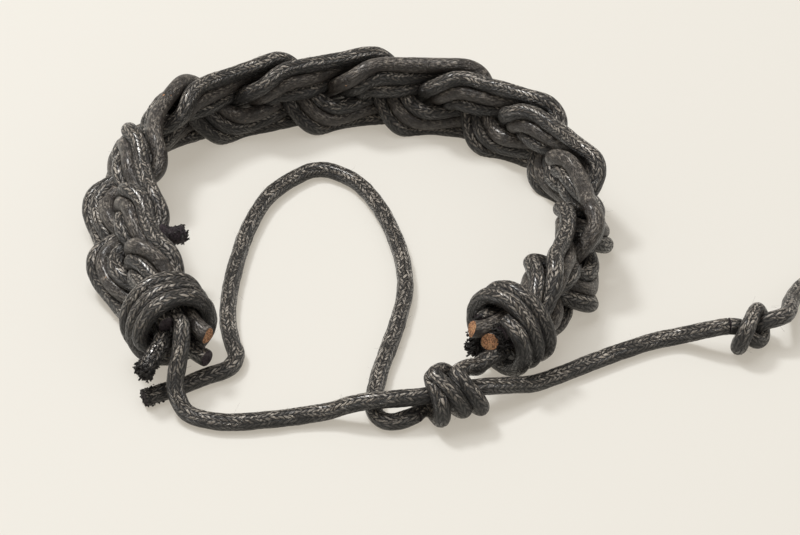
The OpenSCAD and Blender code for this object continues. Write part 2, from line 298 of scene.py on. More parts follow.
def even(points, step):
    """The same line with its points an even step apart, and how far along it each lies."""
    gone = np.concatenate([[0], np.cumsum(np.linalg.norm(np.diff(points, axis=0), axis=1))])
    along = np.linspace(0, gone[-1], max(2, int(round(gone[-1] / step)) + 1))
    return np.stack([np.interp(along, gone, points[:, i]) for i in range(3)], 1), along


def at_azimuth(az, column):
    a = STATIONS[:, AZIMUTH]
    i = np.clip(np.searchsorted(a, az, side="right") - 1, 1, len(a) - 3)
    v = STATIONS[:, column]
    return cubic(v[i - 1], v[i], v[i + 1], v[i + 2], (az - a[i]) / (a[i + 1] - a[i]))


def band_middle(az):
    r = at_azimuth(az, RADIUS)
    return WRIST + np.stack([r * sind(az), r * cosd(az), at_azimuth(az, HEIGHT)], -1)


def in_band(p):
    """A place in the band: along, across towards the top edge, inward towards the wrist."""
    p = np.atleast_2d(np.asarray(p, dtype=float))
    az = p[:, 0] * DEG_PER_MM
    way = unit(band_middle(az + 0.5) - band_middle(az - 0.5))
    inward = unit(np.cross(way, [0, 0, 1]))
    lean = at_azimuth(az, LEAN)[:, None]
    across = cosd(lean) * np.array([0, 0, 1]) + sind(lean) * inward
    return band_middle(az) + p[:, 1:2] * across + p[:, 2:3] * unit(np.cross(way, across))


def eased(x):
    return np.where(x <= -EASE, x, np.where(x >= EASE, 0, x - (x + EASE) ** 2 / (4 * EASE)))


def past_plait(along):
    return np.maximum(START - along, along - END)


def gathered(along):
    return smooth((past_plait(along) - GATHER_LEAD + GATHER / 2) / GATHER)


def plait_phase(along, strand):
    turn = np.where(along > (START + END) / 2, END + eased(along - END), START - eased(START - along))
    return 360 * ((turn - START) / PITCH + strand / STRANDS)


def end_phase(along, strand):
    return 360 * (np.where(along > (START + END) / 2, PLAIT_PITCHES, 0) + strand / STRANDS)


def strand_middle(along, strand, plait):
    p = plait_phase(along, strand)
    q = end_phase(along, strand)
    calm = 1 - CALM_SHARE * np.exp(-((along * DEG_PER_MM - CALM_AZIMUTH) / CALM_WIDTH) ** 2)
    square = RISE_SQUARE[0] * sind(4 * p), RISE_SQUARE[1] * sind(6 * p)
    swing = np.stack([along - SWING_LAG * sind(2 * p),
                      plait.strand_reach / MM * sind(p) + SWING_POINT * sind(3 * p),
                      calm * (plait.strand_rise / MM * sind(2 * p) + square[0] + square[1])], 1)
    still = np.stack([along, BUNDLE_SPACING * sind(q) / sind(60), 0 * along], 1)
    return mix(swing, still, gathered(along)[:, None])


def cord_place(along, strand, cord, plait):
    """The middle of one plait cord in the band's own measures. cord is -1, 0 or 1 across its strand."""
    middle = strand_middle(along, strand, plait)
    way = unit(strand_middle(along + 0.1, strand, plait) - strand_middle(along - 0.1, strand, plait))
    side = unit(np.array([0, 1, 0]) - way * way[:, 1:2])
    over = np.cross(way, side)
    p = plait_phase(along, strand)
    turned = smooth((past_plait(along) - TURN_LEAD + TURN_LENGTH / 2) / TURN_LENGTH)
    tilt = mix(TILT[0] * cosd(p) + TILT[1] * cosd(3 * p), 90 * cosd(3 * end_phase(along, strand)), turned)
    tilt = tilt[:, None]
    flat_way = cosd(tilt) * side + sind(tilt) * over
    crown = cosd(tilt) * over - sind(tilt) * side
    lift = (CROWN * (1 - gathered(along)) * sind(2 * p) * (1 if cord == 0 else -0.5))[:, None]
    return middle + cord * plait.cord_spacing / MM * flat_way + lift * crown


def plait_line(strand, cord, plait):
    left, right = LEFT_ENDS[strand][cord + 1], RIGHT_ENDS[strand][cord + 1]
    along = np.arange(START - LEFT_FACE - left[0], END + RIGHT_FACE + right[0], PLAIT_STEP)
    place = cord_place(along, strand, cord, plait)
    for out, face, end in ((START - along, LEFT_FACE, left), (along - END, RIGHT_FACE, right)):
        if end[0] > 0:
            f = np.clip((out - face + STRAY_FROM) / (end[0] + STRAY_FROM), 0, 1) ** 2
            place[:, 1] += f * end[1]
            place[:, 2] += f * end[2]
    return in_band(place)


def binding_line(edge, out, face, turns, slant, start):
    first = in_band([edge + out * BIND_FROM, 0, 0])[0]
    way = unit(in_band([edge + out * face, 0, 0])[0] - first)
    middle = edge + out * (BIND_FROM + face) / 2
    up = in_band([middle, 1, 0])[0] - in_band([middle, 0, 0])[0]
    across = unit(up - way * np.dot(up, way))
    side = np.cross(way, across)
    turned = np.linspace(0, turns, int(turns * COIL_STEPS) + 1)[:, None]
    a = start + 360 * turned
    tuck = smooth((turned - turns + TUCK_TURN) / TUCK_TURN)
    radius = COIL_RADIUS - TUCK_IN * tuck
    place = BINDING_CORD / 2 + BINDING_PITCH * turned + slant * cosd(a) - TUCK_BACK * tuck
    return first + way * place + radius * cosd(a) * across + radius * sind(a) * side


def beside(way):
    """The level direction to the left of a level way."""
    return np.array([-way[1], way[0], 0])


def knot_place(row):
    turn, along, reach = row
    along = along * KNOT_PULL
    return (WRIST + KNOT_MIDDLE + along * KNOT_WAY - reach * sind(turn) * beside(KNOT_WAY)
            + np.array([0, 0, reach * cosd(turn)]))


def stopper_place(p):
    place = p[0] * STOPPER_WAY - p[2] * beside(STOPPER_WAY) + np.array([0, 0, p[1]])
    return WRIST + STOPPER_MIDDLE + STOPPER_SIZE * place


def stopper_line():
    first_half = [stopper_place(HALF_STOPPER[i]) for i in range(len(HALF_STOPPER) - 1, 0, -1)]
    return through(first_half + [stopper_place((-h[0], h[1], -h[2])) for h in HALF_STOPPER], 10)


def tie_start(face, out, across, inward):
    """Where a tie comes out of its binding: a place inside the face, and one just past it."""
    return [in_band([face - out * TIE_INSIDE, across, inward])[0],
            in_band([face + out * TIE_PAST, across, inward])[0]]


def placed(points):
    return [WRIST + np.array(p) for p in points]


def ring_frames(points):
    """Two directions across the line at each point, carried along it without twisting."""
    way = unit(np.vstack([points[1:2] - points[:1], points[2:] - points[:-2], points[-1:] - points[-2:-1]]))
    side = np.empty_like(points)
    s = np.cross(way[0], [0, 0, 1] if abs(way[0][2]) < 0.9 else [1, 0, 0])
    for i, w in enumerate(way):
        s = s - w * np.dot(s, w)
        s = s / np.linalg.norm(s)
        side[i] = s
    return way, side, np.cross(way, side)


def wander(rng, along, amount, longest):
    """A slow seeded waver along a line, as worn cord has: four waves, each shorter and weaker."""
    total = np.zeros_like(along)
    for k in range(4):
        wave = longest / 1.7 ** k
        total += np.sin(FULL_TURN * along / wave + rng.uniform(0, FULL_TURN)) / (k + 1.5)
    return amount * total


class Tube:
    """One cord: its middle line, its frames and its radius, in millimetres."""

    def __init__(self, name, points, diameter, mesh, seed, joint_diameter):
        step, self.around = mesh
        self.name = name
        self.points, self.along = even(points, step)
        self.way, self.side, self.over = ring_frames(self.points)
        self.reach = diameter / 2
        rng = np.random.default_rng(seed)
        self.radius = self.reach * (1 + wander(rng, self.along, ROUGH, ROUGH_WAVE))
        if joint_diameter:
            near = smooth(np.minimum(self.along, self.along[-1] - self.along) / JOINT_EASE)
            self.radius = mix(joint_diameter / 2, self.radius, near)
        self.turn = rng.uniform(0, FULL_TURN) + TWIST * self.along
        self.turn += wander(rng, self.along, TWIST_WAVER, TWIST_WAVE)

    def outward(self, i, a):
        """The direction out of the cord at a point, at an angle round it."""
        return math.cos(a) * self.side[i] + math.sin(a) * self.over[i]


_made = {}


def all_tubes(context):
    """Every cord of the bracelet. Each piece presses on its neighbours, so they are worked out together."""
    scene = context.scene
    plait, cords = scene.bracelet_plait, scene.bracelet_cords
    key = (plait.cord_diameter, plait.strand_reach, plait.strand_rise, plait.cord_spacing,
           cords.tie_diameter, cords.binding_diameter, cords.stopper_diameter)
    if _made.get("key") == key:
        return _made["tubes"]
    tubes = {}
    tie = cords.tie_diameter

    def add(name, points, diameter, mesh, joint=None):
        seed = FIRST_SEED + len(tubes)
        tubes[name] = Tube(name, points, diameter / MM, mesh, seed, joint and joint / MM)

    for strand, names in enumerate(PLAIT_NODES):
        for cord, name in zip((-1, 0, 1), names):
            add(name, plait_line(strand, cord, plait), plait.cord_diameter, PLAIT_MESH)
    for name, coil in (("left_binding", (START, -1, LEFT_FACE, LEFT_TURNS, 0, 179)),
                       ("right_binding", (END, 1, RIGHT_FACE, RIGHT_TURNS, 0.15, 78))):
        add(name, binding_line(*coil), cords.binding_diameter, BINDING_MESH)
    stopper = stopper_line()
    knot = through([knot_place(row) for row in SLIDING_KNOT], 14)
    left_start = tie_start(START - LEFT_FACE, -1, 1.9, -0.3)
    right_start = tie_start(END + RIGHT_FACE, 1, -1, -1.6)
    add("left_tie", through(left_start + placed(LEFT_TIE) + [stopper[0]], 16), tie, TIE_MESH, tie)
    add("right_tie", through(right_start + placed(RIGHT_TIE) + [knot[0]], 12), tie, TIE_MESH, tie)
    add("sliding_knot", knot, tie, TIE_MESH, tie)
    add("loop_tie", through([knot[-1]] + placed(LOOP_TIE), 16), tie, TIE_MESH, tie)
    add("stopper_knot", stopper, cords.stopper_diameter, STOPPER_MESH, tie)
    add("tail_end", through([stopper[-1]] + placed(TAIL_END), 12), tie, TIE_MESH, tie)
    add("inner_stub", through(placed(STUB), 10), plait.cord_diameter, STUB_MESH)
    tree = KDTree(sum(len(t.points) for t in tubes.values()))
    owner = []
    for number, t in enumerate(tubes.values()):
        t.number = number
        for p, along in zip(t.points, t.along):
            tree.insert(p, len(owner))
            owner.append((number, along, t.reach))
    tree.balance()
    _made.update(key=key, tubes=tubes, tree=tree, owner=np.array(owner))
    return tubes


def pressed(tube):
    """How much of its radius each place round a cord keeps where other cords press on it."""
    tubes = list(_made["tubes"].values())
    owner = _made["owner"]
    joined = {t.number for t in tubes if (t.name, tube.name) in JOINED or (tube.name, t.name) in JOINED}
    angle = tube.turn[:, None] + np.linspace(0, FULL_TURN, tube.around, endpoint=False)[None, :]
    out = np.cos(angle)[..., None] * tube.side[:, None, :] + np.sin(angle)[..., None] * tube.over[:, None, :]
    keep = np.ones(angle.shape)
    for i, p in enumerate(tube.points):
        found = _made["tree"].find_range(p, tube.radius[i] + NEIGHBOUR_REACH)
        if not found:
            continue
        who = owner[np.array([f[1] for f in found])]
        further = np.abs(who[:, 1] - tube.along[i]) > OWN_REACH * tube.reach
        other = np.where(who[:, 0] == tube.number, further, True)
        for j in joined:
            other &= who[:, 0] != j
        if not other.any():
            continue
        # Two cords share the distance between their middles, and meet at a flat face.
        q = np.array([f[0] for f, o in zip(found, other) if o]) - p
        share = tube.reach / (tube.reach + who[other, 2])
        dot = tube.radius[i] * out[i] @ q.T
        limit = share * (q * q).sum(1)
        keep[i] = np.minimum(1, np.where(dot > FACING, limit / np.maximum(dot, FACING), 1).min(1))
    keep = np.clip(keep, LEAST_KEPT, 1)
    soft = keep.copy()
    for axis in (0, 1):
        soft = 0.5 * soft + 0.25 * (np.roll(soft, 1, axis) + np.roll(soft, -1, axis))
    return np.minimum(soft, keep + SPRING), out


def lumps(points):
    """Slow unevenness of a cord's surface by its place, from -1 to 1."""
    x, y, z = points[..., 0], points[..., 1], points[..., 2]
    return (np.sin(2.1 * x + 1.3 * np.sin(1.7 * y)) + np.sin(2.6 * y + 1.1 * np.sin(2.3 * z))
            + np.sin(3.1 * z + x) + 0.8 * np.sin(7.3 * x + 3.1 * y) * np.sin(6.1 * z - 2.7 * y)) / 3.8


def end_way(tube, end):
    """The direction out of a cord at its first end, 0, or its last, -1."""
    return tube.way[end] * (-1 if end == 0 else 1)


def cut_at_slant(tube, rings):
    """Trims a lace down to the plane of each slanted cut."""
    for end in (0, -1):
        if (tube.name, end) in SLANTED_CUTS:
            way = end_way(tube, end)
            normal = unit(np.array(SLANTED_CUTS[tube.name, end], dtype=float))
            near = np.linalg.norm(tube.points - tube.points[end], axis=1) < SLANT_REACH
            past = np.maximum((rings[near] - tube.points[end]) @ normal, 0) / (way @ normal)
            rings[near] -= past[..., None] * way


def linked(context, name, data):
    """A new object in the scene."""
    made = bpy.data.objects.new(name, data)
    context.scene.collection.objects.link(made)
    return made


def lumpiness(context):
    return context.scene.bracelet_cords.lumps / MM


def cord_object(context, name, materials, relief, first_cap=None, last_cap=None, raw_ends=(0, -1)):
    """A cord's skin as a mesh, with caps where it is cut, and u round it and v in millimetres along it."""
    tube = all_tubes(context)[name]
    keep, out = pressed(tube)
    n, k = keep.shape
    r = tube.radius[:, None] * keep
    rings = tube.points[:, None, :] + r[..., None] * out
    # The relief fades out where the skin is pressed flat.
    rings = rings + (relief * lumps(rings) * smooth(keep * 4 - 3))[..., None] * out
    cut_at_slant(tube, rings)
    caps = []
    for end, cap in ((0, first_cap), (-1, last_cap)):
        centre = tube.points[end]
        way = end_way(tube, end)
        caps.append([centre + way * a + (rings[end] - centre) * f for a, f in (cap or CAPS["plain"])])
    first, last = len(caps[0]), len(caps[0]) + n
    verts = np.array(caps[0][::-1] + list(rings) + caps[1])
    verts[..., 2] = np.maximum(verts[..., 2], SKIN_FLOOR)
    v = np.concatenate([tube.along[0] - CAP_V_STEP * np.arange(first, 0, -1), tube.along,
                        tube.along[-1] + CAP_V_STEP * np.arange(1, len(caps[1]) + 1)])
    i, j = np.meshgrid(np.arange(len(verts) - 1), np.arange(k), indexing="ij")
    corners = ((j, i), (j + 1, i), (j + 1, i + 1), (j, i + 1))
    quads = np.stack([b * k + a % k for a, b in corners], -1).reshape(-1, 4)
    uv = np.stack([np.stack([a / k, v[b]], -1) for a, b in corners], 2)
    mesh = bpy.data.meshes.new(name)
    mesh.from_pydata((verts.reshape(-1, 3) * MM).tolist(), [], quads.tolist())
    mesh.uv_layers.new(name="UVMap").data.foreach_set("uv", uv.ravel())
    # The hidden caps of cords that join are flat, so that no dark ring shows at the joint.
    is_flat = ((i < first) & (first_cap is None)) | ((i >= last - 1) & (last_cap is None))
    mesh.polygons.foreach_set("use_smooth", ~is_flat.ravel())
    for m in materials:
        mesh.materials.append(m)
    if len(materials) > 1:
        is_raw = ((i < first - 1) & (0 in raw_ends)) | ((i >= last) & (-1 in raw_ends))
        mesh.polygons.foreach_set("material_index", is_raw.ravel().astype(np.int32))
    mesh.update()
    piece = linked(context, "%s_skin" % name, mesh)
    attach(piece, "root")
    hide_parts(name)
    return piece


# Loose cotton, in millimetres. FIBRE_TIP is the share of its thickness that a fibre keeps at its tip,
# and FIBRE_DROOP the share of its length by which it droops.
FIBRE_TIP = 0.65
FIBRE_DROOP = 0.15
FIBRE_THICKNESS = (0.6, 1.3)
FIBRE_FLOOR = 0.03
# Crumbs on a cord's skin, clumps at its cut end by the end's reach, and finer hairs that stand further out.
CRUMB_LENGTH, CRUMB_THICKNESS = 0.26, 0.13
CLUMP_SHARE, CLUMP_THICKNESS = 0.6, 0.18
HAIR_SHARE, HAIR_THICKNESS = 1.3, 0.012
MATTED = 0.9


def fibres_object(context, name, fibres, material):
    """Thin fibres as one mesh. Each is a list of points and a radius at its root, in millimetres."""
    verts, faces = [], []
    for points, radius in fibres:
        p = np.array(points)
        way, side, over = ring_frames(p)
        base = len(verts)
        m = len(p)
        for i in range(m):
            r = radius * (1 - (1 - FIBRE_TIP) * i / (m - 1))
            for a in (0, 120, 240):
                verts.append((p[i] + r * (cosd(a) * side[i] + sind(a) * over[i])) * MM)
        for i in range(m - 1):
            low = base + 3 * i
            for a, b in ((0, 1), (1, 2), (2, 0)):
                faces.append((low + a, low + b, low + 3 + b, low + 3 + a))
        faces.append((base + 3 * m - 3, base + 3 * m - 2, base + 3 * m - 1))
    mesh = bpy.data.meshes.new(name)
    mesh.from_pydata([tuple(v) for v in verts], [], faces)
    mesh.polygons.foreach_set("use_smooth", np.ones(len(faces), dtype=bool))
    mesh.materials.append(material)
    mesh.update()
    piece = linked(context, name, mesh)
    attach(piece, "root")


def tuft(rng, centre, way, spread, count, length, thickness, radius, tangle, depth):
    """Fibres that fan out of a cut end."""
    way = unit(np.asarray(way, dtype=float))
    side = unit(np.cross(way, [0.3, 0.2, 0.9]))
    over = np.cross(way, side)
    floor = FIBRE_FLOOR + FIBRE_THICKNESS[1] * thickness
    fibres = []
    for _ in range(count):
        a, r = rng.uniform(0, FULL_TURN), math.sqrt(rng.uniform(0, 1))
        out = math.cos(a) * side + math.sin(a) * over
        foot = centre + radius * r * out + way * rng.uniform(-0.5, depth)
        lean = unit(way + spread * r * out + rng.normal(0, tangle, 3))
        bend = rng.normal(0, tangle, 3)
        reach = length * rng.uniform(0.35, 1)
        points = []
        for t in np.linspace(0, 1, 5):
            droop = np.array([0, 0, -FIBRE_DROOP * reach * t * t])
            p = foot + lean * reach * t + bend * (reach * 0.5 * t * t) + droop
            p[2] = max(p[2], floor)
            points.append(p)
        fibres.append((points, thickness * rng.uniform(*FIBRE_THICKNESS)))
    return fibres


def fluff(rng, tube, indices, count):
    """Crumbs of loose cotton that stand off a cord's skin along a worn length of it."""
    crumbs = []
    for i in rng.choice(indices, count):
        out = tube.outward(i, rng.uniform(0, FULL_TURN))
        foot = tube.points[i] + out * tube.reach * rng.uniform(0.85, 1.12)
        crumbs += tuft(rng, foot, out, spread=0.5, count=1, length=CRUMB_LENGTH, thickness=CRUMB_THICKNESS,
                       radius=0.12, tangle=MATTED, depth=0.05)
    return crumbs


# Finishes

def rgba(colour, share=1):
    """A colour for a socket, darker or lighter by a share."""
    return tuple(min(1, c * share) for c in colour) + (1,)


class Wires:
    """Short ways to add nodes to one tree."""

    def __init__(self, tree):
        self.tree = tree

    def add(self, kind, inputs=None, **settings):
        node = self.tree.nodes.new(kind)
        for key, value in settings.items():
            setattr(node, key, value)
        for key, value in (inputs or {}).items():
            self.put(node.inputs[key], value)
        return node

    def put(self, socket, value):
        if isinstance(value, bpy.types.NodeSocket):
            self.tree.links.new(value, socket)
        else:
            socket.default_value = value

    def math(self, operation, a, b=0.0, c=0.0):
        return self.add("ShaderNodeMath", {0: a, 1: b, 2: c}, operation=operation).outputs[0]

    def times(self, a, b):
        return self.math("MULTIPLY", a, b)

    def scaled(self, value, by, plus):
        return self.math("MULTIPLY_ADD", value, by, plus)

    def at_least(self, value, low):
        """A mask that runs from low to 1 where the value runs from 0 to 1."""
        return self.scaled(value, 1 - low, low)

    def around_middle(self, value):
        """A value from 0 to 1 counted from its middle."""
        return self.math("SUBTRACT", value, 0.5)

    def colour(self, factor, a, b):
        return self.add("ShaderNodeMix", {0: factor, 6: a, 7: b}, data_type="RGBA").outputs[2]

    def span(self, value, low, high, to_low=0.0, to_high=1.0):
        inputs = dict(enumerate((value, low, high, to_low, to_high)))
        return self.add("ShaderNodeMapRange", inputs, interpolation_type="SMOOTHSTEP").outputs[0]

    def noise(self, vector, scale, detail=2.0, rough=0.5):
        """Even noise. On an object's place, which is in metres, the scale is per metre."""
        inputs = {"Vector": vector, "Scale": scale, "Detail": detail, "Roughness": rough}
        return self.add("ShaderNodeTexNoise", inputs).outputs[0]

    def place(self):
        return self.add("ShaderNodeTexCoord").outputs["Object"]

    def on_cord(self):
        """Turns round a cord, and millimetres along it."""
        uv = self.add("ShaderNodeUVMap", uv_map="UVMap").outputs[0]
        return self.add("ShaderNodeSeparateXYZ", {0: uv}).outputs

    def group(self, tree, **values):
        node = self.add("ShaderNodeGroup", node_tree=tree)
        for label, value in values.items():
            node.inputs[label.replace("_", " ")].default_value = value
        return node.outputs

    def surface(self, shader, colour, rough, height=None, depth=0.0):
        """Gives a shader its colour, roughness and relief."""
        self.put(shader.inputs["Base Color"], colour)
        self.put(shader.inputs["Roughness"], rough)
        if height:
            bump = self.add("ShaderNodeBump", {"Strength": 1.0, "Distance": depth, "Height": height})
            self.put(shader.inputs["Normal"], bump.outputs[0])

    def coat(self, shader, weight, rough, specular):
        """Gives a shader a coat whose weight changes over the surface."""
        self.put(shader.inputs["Coat Weight"], weight)
        shader.inputs["Coat Roughness"].default_value = rough
        shader.inputs["Specular IOR Level"].default_value = specular


def new_group(name, inputs, outputs):
    """A shader node group of number sockets. inputs are names and defaults, outputs are names."""
    group = bpy.data.node_groups.new(name, "ShaderNodeTree")
    for label, default in inputs.items():
        socket = group.interface.new_socket(name=label, in_out="INPUT", socket_type="NodeSocketFloat")
        socket.default_value = default
    for label in outputs:
        group.interface.new_socket(name=label, in_out="OUTPUT", socket_type="NodeSocketFloat")
    wires = Wires(group)
    return group, wires, wires.add("NodeGroupInput").outputs, wires.add("NodeGroupOutput").inputs


def braided_sheath():
    """Columns of slanted stitches round a cord, from its own UV, with the fibres along each stitch."""
    if "Braided Sheath" in bpy.data.node_groups:
        return bpy.data.node_groups["Braided Sheath"]
    group, w, inp, out = new_group(
        "Braided Sheath", {"Columns": 10.0, "Stitch Length": 0.6, "Lean": 0.9, "Unevenness": 0.5},
        ("Height", "Raised", "Tone", "Fibre"))
    place = w.place()
    u, v = w.on_cord()[:2]
    pull = w.times(w.around_middle(w.noise(place, 1300.0)), inp["Unevenness"])
    slip = w.times(w.around_middle(w.noise(place, 800.0)), inp["Unevenness"])
    c = w.scaled(u, inp["Columns"], pull)
    column = w.math("FLOOR", c)
    f = w.around_middle(w.math("FRACT", c))
    sign = w.scaled(w.math("FLOORED_MODULO", column, 2.0), -2.0, 1.0)
    slant = w.times(w.times(sign, f), inp["Lean"])
    phase = w.math("ADD", w.scaled(slip, 2.0, w.math("DIVIDE", v, inp["Stitch Length"])), slant)
    stitch = w.math("FLOOR", phase)
    q = w.around_middle(w.math("FRACT", phase))
    ridge = w.math("SQRT", w.math("MAXIMUM", w.scaled(w.times(q, q), -4.0, 1.0), 0.0))
    belly = w.math("SQRT", w.scaled(w.times(f, f), -3.2, 1.0))
    strand = w.add("ShaderNodeCombineXYZ", {0: w.scaled(column, 7.3, w.times(f, 2.2)),
                                            1: w.scaled(stitch, 3.7, w.times(q, 9.0))})
    fibre = w.span(w.noise(strand.outputs[0], 1.0, 2.0, 0.7), 0.3, 0.7)
    height = w.times(ridge, belly)
    cell = w.add("ShaderNodeCombineXYZ", {0: column, 1: stitch})
    tone = w.add("ShaderNodeTexWhiteNoise", {"Vector": cell.outputs[0]}, noise_dimensions="2D")
    w.put(out["Height"], w.scaled(fibre, 0.25, height))
    w.put(out["Raised"], w.span(height, 0.4, 0.95))
    w.put(out["Tone"], tone.outputs["Value"])
    w.put(out["Fibre"], fibre)
    return group


def wax_wear():
    """Where the wax shines, the spots for painted glints, the lint on it, and how far the surface faces up,
    the mask that paints light on the upper faces.
    """
    if "Wax Wear" in bpy.data.node_groups:
        return bpy.data.node_groups["Wax Wear"]
    group, w, inp, out = new_group("Wax Wear", {"Patch Size": 3.0, "Lint": 0.5},
                                   ("Shine", "Speck", "Lint", "Grain", "Top"))
    place = w.place()
    patch = w.noise(place, w.math("DIVIDE", 1000.0, inp["Patch Size"]), 3.0, 0.6)
    w.put(out["Shine"], w.span(patch, 0.42, 0.62))
    # Spots where glints of light are painted on the wax.
    w.put(out["Speck"], w.span(w.noise(place, 2300.0, 2.0, 0.6), 0.42, 0.6))
    w.put(out["Lint"], w.times(w.span(w.noise(place, 2600.0, 2.0, 0.7), 0.6, 0.78), inp["Lint"]))
    w.put(out["Grain"], w.noise(place, 6500.0, 3.0, 0.65))
    # Painted light: this mask runs from 0.12 on faces that turn down to 1 on faces that look up, and lightens
    # the colour where light falls from above.
    facing = w.add("ShaderNodeSeparateXYZ", {0: w.add("ShaderNodeNewGeometry").outputs["Normal"]})
    w.put(out["Top"], w.span(facing.outputs[2], -0.1, 0.9, 0.12, 1.0))
    return group


def new_material(name):
    material = bpy.data.materials.new(name)
    material.use_nodes = True
    material.node_tree.nodes.clear()
    w = Wires(material.node_tree)
    shader = w.add("ShaderNodeBsdfPrincipled")
    w.add("ShaderNodeOutputMaterial", {"Surface": shader.outputs[0]})
    return material, w, shader


def waxed_cord(context, name, worn=0.0):
    """Braided cotton cord soaked in dark wax: near-black painted shade in the hollows, greasy stitches with
    painted light on their upper faces and painted glints on their crests.
    """
    if name in bpy.data.materials:
        return bpy.data.materials[name]
    finish, cords = context.scene.bracelet_finish, context.scene.bracelet_cords
    material, w, shader = new_material(name)
    sheath = w.group(braided_sheath(), Columns=cords.stitch_columns, Stitch_Length=cords.stitch_length / MM,
                     Lean=cords.stitch_lean, Unevenness=0.9)
    wear = w.group(wax_wear(), Patch_Size=2.4)
    raised, tone, shine, top = sheath["Raised"], sheath["Tone"], wear["Shine"], wear["Top"]
    # Painted light and shade: the raised stitches that face up are painted in the pale lit wax, and the
    # hollows between the stitches and the faces that turn down in the near-black painted shade.
    lit = w.times(w.times(raised, w.at_least(tone, 0.4)), w.at_least(sheath["Fibre"], 0.3))
    lit = w.times(w.times(w.span(lit, 0.05, 0.75), w.at_least(shine, 0.45)), top)
    base = w.colour(lit, rgba(finish.cord_shade), rgba(finish.cord_wax_lit))
    # Painted glints: pale highlights painted on the crests of the stitches, mostly on the faces that look up.
    crest = w.span(sheath["Height"], 0.6, 1.0)
    painted_glint = w.times(w.times(crest, wear["Speck"]), w.span(tone, 0.1, 0.6))
    painted_glint = w.times(w.times(painted_glint, w.at_least(shine, 0.55)), w.math("POWER", top, 2.0))
    base = w.colour(painted_glint, base, rgba(finish.cord_glint))
    base = w.colour(w.times(wear["Lint"], 0.3 + worn), base, rgba(finish.cord_lint))
    gloss = w.times(raised, w.at_least(shine, 0.4))
    rough = w.scaled(wear["Grain"], -0.06, w.scaled(gloss, -0.4 + 0.06 * worn, 0.6))
    w.surface(shader, base, rough, w.scaled(wear["Grain"], 0.5, sheath["Height"]), 0.00018)
    w.coat(shader, w.times(gloss, 0.8), rough=0.18, specular=0.7)
    return material


def leather_skin(context):
    """The laces' dyed skin: scraped lengthwise, with a coarse grain, pale scuffs painted lighter on the upper
    faces as a highlight, and nicks down to the tan.
    """
    if "leather_skin" in bpy.data.materials:
        return bpy.data.materials["leather_skin"]
    finish = context.scene.bracelet_finish
    material, w, shader = new_material("leather_skin")
    place = w.place()
    u, v = w.on_cord()[:2]
    scraped = w.add("ShaderNodeCombineXYZ", {0: w.times(u, 34.0), 1: w.times(v, 1.6)})
    wear = w.group(wax_wear(), Patch_Size=3.0)
    lines = w.noise(scraped.outputs[0], 1.0, 3.0, 0.65)
    cells = w.add("ShaderNodeTexVoronoi", {"Vector": place, "Scale": 3400.0, "Randomness": 0.9})
    cells = cells.outputs["Distance"]
    # Pale scraped scuffs along the lace, partly painted highlight: they are kept to the upper faces.
    scuff_and_sheen = w.times(w.span(lines, 0.44, 0.66), w.span(w.noise(place, 700.0, 3.0, 0.6), 0.36, 0.6))
    scuff_and_sheen = w.times(w.times(scuff_and_sheen, wear["Top"]), 0.85)
    nick = w.span(w.noise(place, 330.0, 4.0, 0.75), 0.70, 0.72)
    base = w.colour(w.span(cells, 0.1, 0.6), rgba(finish.leather_skin, 0.45), rgba(finish.leather_skin))
    base = w.colour(scuff_and_sheen, base, rgba(finish.leather_scuff_sheen))
    base = w.colour(nick, base, rgba(finish.leather_core))
    rough = w.scaled(wear["Shine"], -0.08, w.scaled(lines, 0.4, 0.22))
    height = w.scaled(wear["Grain"], 0.6, w.scaled(lines, 0.9, w.times(cells, 0.5)))
    w.surface(shader, base, rough, height, 0.00022)
    w.coat(shader, w.times(w.span(lines, 0.4, 0.62), 0.6), rough=0.25, specular=0.6)
    return material


def cut_face(name, colour, pale):
    """The raw face of a cut lace or cord: granular, with darker pits."""
    if name in bpy.data.materials:
        return bpy.data.materials[name]
    material, w, shader = new_material(name)
    place = w.place()
    grain = w.noise(place, 5200.0, 4.0, 0.8)
    base = w.colour(w.span(grain, 0.45, 0.56), rgba(colour, 0.25), rgba(colour))
    blotch = w.times(w.span(w.noise(place, 1100.0), 0.5, 0.68), 0.6)
    w.surface(shader, w.colour(blotch, base, rgba(pale)), 0.85, grain, 0.00018)
    return material


def cut_cotton(context):
    return cut_face("cotton_core", context.scene.bracelet_finish.cotton_core, (0.1, 0.085, 0.09))


def cut_leather(context):
    return cut_face("leather_core", context.scene.bracelet_finish.leather_core, (0.62, 0.36, 0.18))


def loose_cotton(context, name):
    """Loose cotton fibre: matt, a little different from hair to hair."""
    colour = context.scene.bracelet_finish.fibre
    material, w, shader = new_material(name)
    tone = w.span(w.noise(w.place(), 2500.0, 1.0), 0.35, 0.7)
    w.surface(shader, w.colour(tone, rgba(colour, 0.5), rgba(colour, 2.2)), 0.8)
    return material


def paper_floor(context):
    """Pale matt paper that glows a little, so that the shadows on it stay light."""
    stage = context.scene.bracelet_stage
    material, w, shader = new_material("paper_floor")
    tone = w.span(w.noise(w.place(), 9.0, 3.0), 0.3, 0.7)
    w.surface(shader, w.colour(tone, rgba(stage.floor_colour, 0.985), rgba(stage.floor_colour)), 0.7)
    shader.inputs["Emission Color"].default_value = rgba(stage.floor_glow)
    shader.inputs["Emission Strength"].default_value = 1
    return material


# Settings

def amount(name, text, default, low, high, **kind):
    return bpy.props.FloatProperty(name=name, description=text, default=default, min=low, max=high, **kind)


def length(name, text, default, low, high):
    return amount(name, text, default, low, high, unit="LENGTH", precision=5)


def power(name, text, default):
    return amount(name, text, default, 0, 100, unit="POWER")


def tint(name, text, default):
    return bpy.props.FloatVectorProperty(name=name, description=text, default=default, min=0, max=1,
                                         size=3, subtype="COLOR")


def whole(name, text, default, low, high, step=1):
    return bpy.props.IntProperty(name=name, description=text, default=default, min=low, max=high, step=step)


